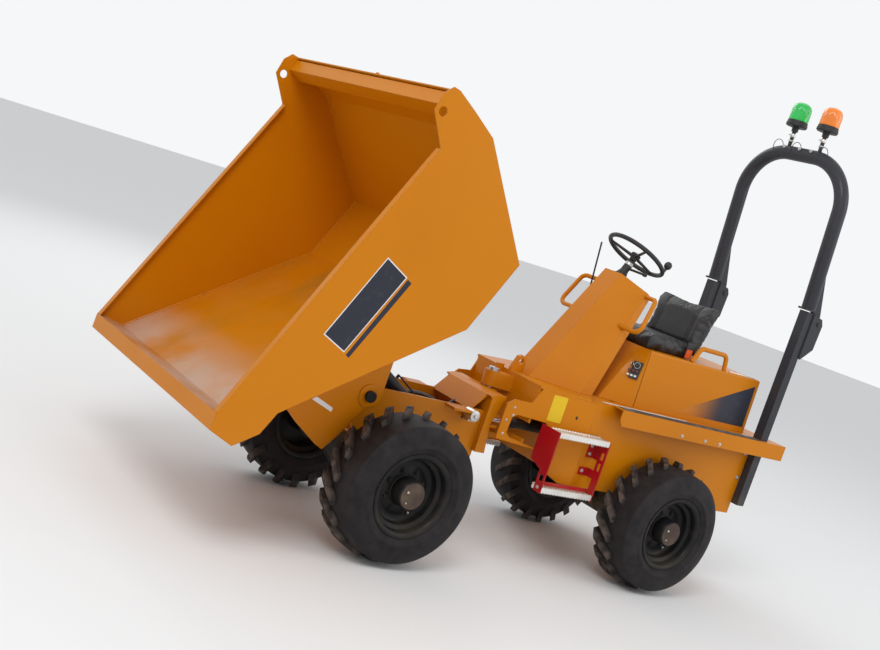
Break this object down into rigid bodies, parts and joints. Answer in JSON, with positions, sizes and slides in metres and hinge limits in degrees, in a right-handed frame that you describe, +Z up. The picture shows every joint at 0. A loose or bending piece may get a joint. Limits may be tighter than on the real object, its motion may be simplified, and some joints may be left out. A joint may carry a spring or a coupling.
{
  "type": "site dumper",
  "caption": "Ride-on articulated site dumper with a front tipping skip, driver's seat over the engine and folding rollover hoop.",
  "frame": {"origin": "on the floor under the middle of the vehicle's overall box", "axes": "+X forward to the skip, +Y to the driver's left, +Z up"},
  "size_m": [3.942, 1.544, 3.0141],
  "materials": {
    "yellow_paint": "gloss paint, lightly dusty",
    "charcoal_paint": "satin powder coat",
    "red_paint": "gloss paint",
    "chassis_black": "satin chassis paint",
    "rim_black": "satin black",
    "tyre": "dusty rubber",
    "bright_steel": "ground steel",
    "engine_iron": "painted cast iron",
    "black_plastic": "textured",
    "seat_vinyl": "black seat vinyl",
    "grip_aluminium": "punched grip plate",
    "green_lens": "moulded lens",
    "amber_lens": "moulded lens"
  },
  "bodies": {
    "rear_frame": {"hinge_frame": "yellow_paint", "bulkhead": "yellow_paint", "rear_floor": "yellow_paint", "rear_side_left": "yellow_paint", "rear_side_right": "yellow_paint", "nose_side_left": "yellow_paint", "nose_side_right": "yellow_paint", "centre_pin": "bright_steel", "rear_axle": "chassis_black", "engine_block": "engine_iron", "deck": "yellow_paint", "counterweight": "charcoal_paint", "cowl": "yellow_paint", "cowl_rail_left": "yellow_paint", "cowl_rail_right": "yellow_paint", "steering_column": "black_plastic", "dash_lever": "black_plastic", "heel_panel": "yellow_paint", "control_panel": "black_plastic", "step_frame_left": "red_paint", "step_frame_right": "red_paint", "step_upper_left": "grip_aluminium", "step_upper_right": "grip_aluminium", "step_lower_left": "grip_aluminium", "step_lower_right": "grip_aluminium", "rops_leg_left": "charcoal_paint", "rops_leg_right": "charcoal_paint"},
    "front_frame": {"front_chassis": "yellow_paint", "front_axle": "chassis_black", "tip_pin": "bright_steel"},
    "skip": {"skip": "yellow_paint", "skip_frame": "yellow_paint", "skip_rail": "yellow_paint"},
    "steering_wheel": {"steering_wheel": "black_plastic"},
    "cover": {"engine_cover": "yellow_paint", "seat_cushion": "seat_vinyl", "seat_back": "seat_vinyl", "hip_rail_left": "yellow_paint", "hip_rail_right": "yellow_paint"},
    "hoop": {"rops_hoop": "charcoal_paint", "beacon_green": "green_lens", "beacon_amber": "amber_lens"},
    "steer_barrel": {"steer_barrel": "chassis_black"},
    "steer_rod": {"steer_rod": "bright_steel"},
    "tip_barrel_left": {"tip_barrel_left": "chassis_black"},
    "tip_rod_left": {"tip_rod_left": "bright_steel"},
    "tip_barrel_right": {"tip_barrel_right": "chassis_black"},
    "tip_rod_right": {"tip_rod_right": "bright_steel"},
    "wheel_front_left": {"tyre_front_left": "tyre", "rim_front_left": "rim_black"},
    "wheel_front_right": {"tyre_front_right": "tyre", "rim_front_right": "rim_black"},
    "wheel_rear_left": {"tyre_rear_left": "tyre", "rim_rear_left": "rim_black"},
    "wheel_rear_right": {"tyre_rear_right": "tyre", "rim_rear_right": "rim_black"}
  },
  "joints": [
    {"name": "steer", "type": "hinge", "parent": "rear_frame", "child": "front_frame", "pos_m": [0.04, 0, 0.74], "axis": [0, 0, 1], "range_deg": [-30, 30]},
    {"name": "skip_tip", "type": "hinge", "parent": "front_frame", "child": "skip", "pos_m": [1, 0, 0.75], "axis": [0, 1, 0], "range_deg": [-62, 6]},
    {"name": "wheel_turn", "type": "hinge", "parent": "rear_frame", "child": "steering_wheel", "pos_m": [-0.68, 0, 1.79], "axis": [-0.4226, 0, 0.9063], "range_deg": [-545, 545]},
    {"name": "cover_tilt", "type": "hinge", "parent": "rear_frame", "child": "cover", "pos_m": [-1.74, 0, 0.9843], "axis": [0, 1, 0], "range_deg": [-55, 0]},
    {"name": "hoop_fold", "type": "hinge", "parent": "rear_frame", "child": "hoop", "pos_m": [-1.885, 0, 1.745], "axis": [0, 1, 0], "range_deg": [-130, 0]},
    {"name": "steer_ram_swing", "type": "hinge", "parent": "rear_frame", "child": "steer_barrel", "pos_m": [-0.4, 0.152, 0.72], "axis": [0, 0, 1], "range_deg": [-4, 4]},
    {"name": "steer_ram_stroke", "type": "slide", "parent": "steer_barrel", "child": "steer_rod", "axis": [1, 0, 0], "range_m": [-0.09, 0.09]},
    {"name": "tip_ram_swing_left", "type": "hinge", "parent": "front_frame", "child": "tip_barrel_left", "pos_m": [0.33, 0.09, 0.556], "axis": [0, 1, 0], "range_deg": [-11, 3]},
    {"name": "tip_ram_stroke_left", "type": "slide", "parent": "tip_barrel_left", "child": "tip_rod_left", "axis": [0.8663, 0, 0.4995], "range_m": [-0.26, 0.04]},
    {"name": "tip_ram_swing_right", "type": "hinge", "parent": "front_frame", "child": "tip_barrel_right", "pos_m": [0.33, -0.09, 0.556], "axis": [0, 1, 0], "range_deg": [-11, 3]},
    {"name": "tip_ram_stroke_right", "type": "slide", "parent": "tip_barrel_right", "child": "tip_rod_right", "axis": [0.8663, 0, 0.4995], "range_m": [-0.26, 0.04]},
    {"name": "wheel_front_left_roll", "type": "hinge", "parent": "front_frame", "child": "wheel_front_left", "pos_m": [0.783, 0.528, 0.38], "axis": [0, 1, 0], "continuous": true},
    {"name": "wheel_front_right_roll", "type": "hinge", "parent": "front_frame", "child": "wheel_front_right", "pos_m": [0.783, -0.528, 0.38], "axis": [0, 1, 0], "continuous": true},
    {"name": "wheel_rear_left_roll", "type": "hinge", "parent": "rear_frame", "child": "wheel_rear_left", "pos_m": [-1.033, 0.528, 0.38], "axis": [0, 1, 0], "continuous": true},
    {"name": "wheel_rear_right_roll", "type": "hinge", "parent": "rear_frame", "child": "wheel_rear_right", "pos_m": [-1.033, -0.528, 0.38], "axis": [0, 1, 0], "continuous": true}
  ],
  "couplings": [
    {"joint": "wheel_turn", "follows": "steer", "ratio": 18},
    {"joint": "steer_ram_swing", "follows": "steer", "ratio": 0.087},
    {"joint": "steer_ram_stroke", "follows": "steer", "m_per_rad": -0.147},
    {"joint": "tip_ram_swing_left", "follows": "skip_tip", "ratio": 0.16},
    {"joint": "tip_ram_stroke_left", "follows": "skip_tip", "m_per_rad": 0.2229},
    {"joint": "tip_ram_swing_right", "follows": "skip_tip", "ratio": 0.16},
    {"joint": "tip_ram_stroke_right", "follows": "skip_tip", "m_per_rad": 0.2229}
  ]
}
